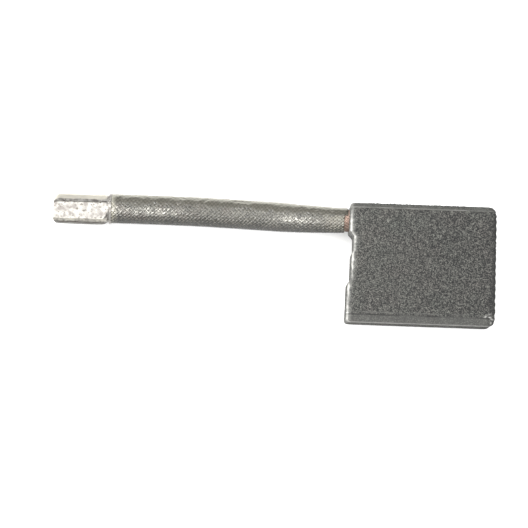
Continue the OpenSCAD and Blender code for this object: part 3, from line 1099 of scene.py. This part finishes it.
wear_and_highlight = np.maximum(wear_and_highlight, 0.75 * np.clip(curl, 0, 1))
wear_and_highlight = np.maximum(wear_and_highlight, 0.45 * np.exp(-((np.hypot(y - far_edge, height - 3.46) / 0.11) ** 2)))
# Smooth on the bevels, matt on the far walls, darker beside the contact face, and painted
# shade in the chips
tilt = np.abs(normals[:, 2])
bevel = np.clip((tilt - 0.6) / 0.1, 0, 1) * np.clip((0.985 - tilt) / 0.02, 0, 1)
walls = np.clip((0.35 - tilt) / 0.2, 0, 1) * (y < 0)
face_dark_and_chip_shade = np.clip(1.3 - in_from_face / (0.25 + 0.03 * (half_wide - y)), 0, 1)
face_dark_and_chip_shade = face_dark_and_chip_shade * np.clip(0.8 + fine, 0, 1)
face_dark_and_chip_shade = np.maximum(face_dark_and_chip_shade, np.clip(hollow, 0, 1))
for name, values in (("wear_and_highlight", wear_and_highlight), ("bevel", bevel), ("wall", walls), ("face_dark_and_chip_shade", face_dark_and_chip_shade)):
    mesh.attributes.new(name, "FLOAT", "POINT").data.foreach_set(
        "value", values.astype(np.float32)
    )

# Pressed copper-graphite: near black graphite with dull copper grains, which are drawn 0.1 mm
# across so that they show. They make a fine salt-and-pepper grey, with faint streaks of 0.2 by
# 1.1 mm along the pressing rolls, and patches 2.4 mm apart.
graphite, tree, shader = finish("pressed_copper_graphite")
spot = add(tree, "ShaderNodeTexCoord").outputs["Object"]
edge, band, face_and_chip_dark, matt = (
    add(tree, "ShaderNodeAttribute", attribute_name=mark).outputs["Fac"]
    for mark in ("wear_and_highlight", "bevel", "face_dark_and_chip_shade", "wall")
)
axes = add(tree, "ShaderNodeSeparateXYZ", {"Vector": spot}).outputs
grains = add(
    tree,
    "ShaderNodeTexVoronoi",
    {"Vector": spot, "Scale": spaced(0.10526), "Randomness": 1.0},
    feature="F1",
).outputs["Color"]
grit = add(tree, "ShaderNodeSeparateColor", {"Color": grains}).outputs[0]
streaked = add(
    tree, "ShaderNodeMapping", {"Vector": spot, "Scale": (spaced(0.2), spaced(1.11), spaced(1.11))}
)
streak = add(
    tree,
    "ShaderNodeTexNoise",
    {"Vector": streaked.outputs[0], "Scale": 1.0, "Detail": 2.0},
).outputs["Fac"]
patch = add(tree, "ShaderNodeTexNoise", {"Vector": spot, "Scale": spaced(2.381), "Detail": 2.0})
streaks = add(tree, "ShaderNodeMath", {0: streak, 1: 0.5, 2: -0.25}, operation="MULTIPLY_ADD")
# The top grows darker towards the contact end
darker = add(tree, "ShaderNodeMath", {0: axes["X"], 1: -7.0}, operation="MULTIPLY")
speckle = add(tree, "ShaderNodeMath", {0: grit, 1: 2.2}, operation="POWER")
for part in (streaks, darker):
    speckle = add(tree, "ShaderNodeMath", {0: speckle, 1: part}, operation="ADD")
tone = add(
    tree,
    "ShaderNodeMix",
    {"Factor": speckle, 6: paint("#000000"), 7: paint("#646460")},
    data_type="RGBA",
    clamp_factor=True,
)
# Where more copper lies at the surface the grey turns faintly red, and elsewhere faintly green
tinge = add(
    tree,
    "ShaderNodeMix",
    {"Factor": patch.outputs["Fac"], 6: paint("#e9f2ec"), 7: paint("#f6ecea")},
    data_type="RGBA",
)
tone = add(
    tree,
    "ShaderNodeMix",
    {"Factor": 1.0, 6: tone.outputs[2], 7: tinge.outputs[2]},
    data_type="RGBA",
    blend_type="MULTIPLY",
)
# Lighter on the bevels, darker along the contact face with painted shade in the chips, and bright
# where worn, with a painted highlight
shares = [
    (add(tree, "ShaderNodeMath", {0: band, 1: 0.5}, operation="MULTIPLY"), "#4f4f4c"),
    (add(tree, "ShaderNodeMath", {0: face_and_chip_dark, 1: 0.8}, operation="MULTIPLY"), "#050505"),
    (edge, "#cfcec9"),
]
# Thin lines along the bevels, broken here and there: a dark one with a paler one beside it on
# the far side, and a pale one on the lead side
broken = add(
    tree,
    "ShaderNodeMapRange",
    {
        "Value": patch.outputs["Fac"],
        "From Min": 0.4,
        "From Max": 0.6,
        "To Min": 0.25,
        "To Max": 0.8,
    },
)
for line, colour in ((far_line, "#0c0c0b"), (far_line + 0.33, "#484845"), (lead_line, "#6a6a66")):
    off = add(tree, "ShaderNodeMath", {0: axes["Y"], 1: line / 1000}, operation="SUBTRACT")
    off = add(tree, "ShaderNodeMath", {0: off}, operation="ABSOLUTE")
    close = add(
        tree,
        "ShaderNodeMapRange",
        {"Value": off, "From Min": 0.00003, "From Max": 0.00012, "To Min": broken, "To Max": 0.0},
    )
    shares.append((close, colour))
for share, colour in shares:
    tone = add(
        tree,
        "ShaderNodeMix",
        {"Factor": share, 6: tone.outputs[2], 7: paint(colour)},
        data_type="RGBA",
    )
tree.links.new(tone.outputs[2], shader.inputs["Base Color"])
shader.inputs["Metallic"].default_value = 0.35
gloss = add(tree, "ShaderNodeMapRange", {"Value": edge, "To Min": 0.62, "To Max": 0.35})
gloss = add(tree, "ShaderNodeMapRange", {"Value": matt, "To Min": gloss, "To Max": 0.95})
tree.links.new(gloss.outputs[0], shader.inputs["Roughness"])
flatter = add(tree, "ShaderNodeMath", {0: band, 1: -0.8, 2: 1.0}, operation="MULTIPLY_ADD")
relief = add(tree, "ShaderNodeMath", {0: grit, 1: flatter}, operation="MULTIPLY")
bump = add(tree, "ShaderNodeBump", {"Strength": 0.8, "Distance": 0.00004, "Height": relief})
tree.links.new(bump.outputs["Normal"], shader.inputs["Normal"])

block = settled("pressed_block", mesh, spots, graphite)
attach(block, "root")
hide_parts("brush_block")
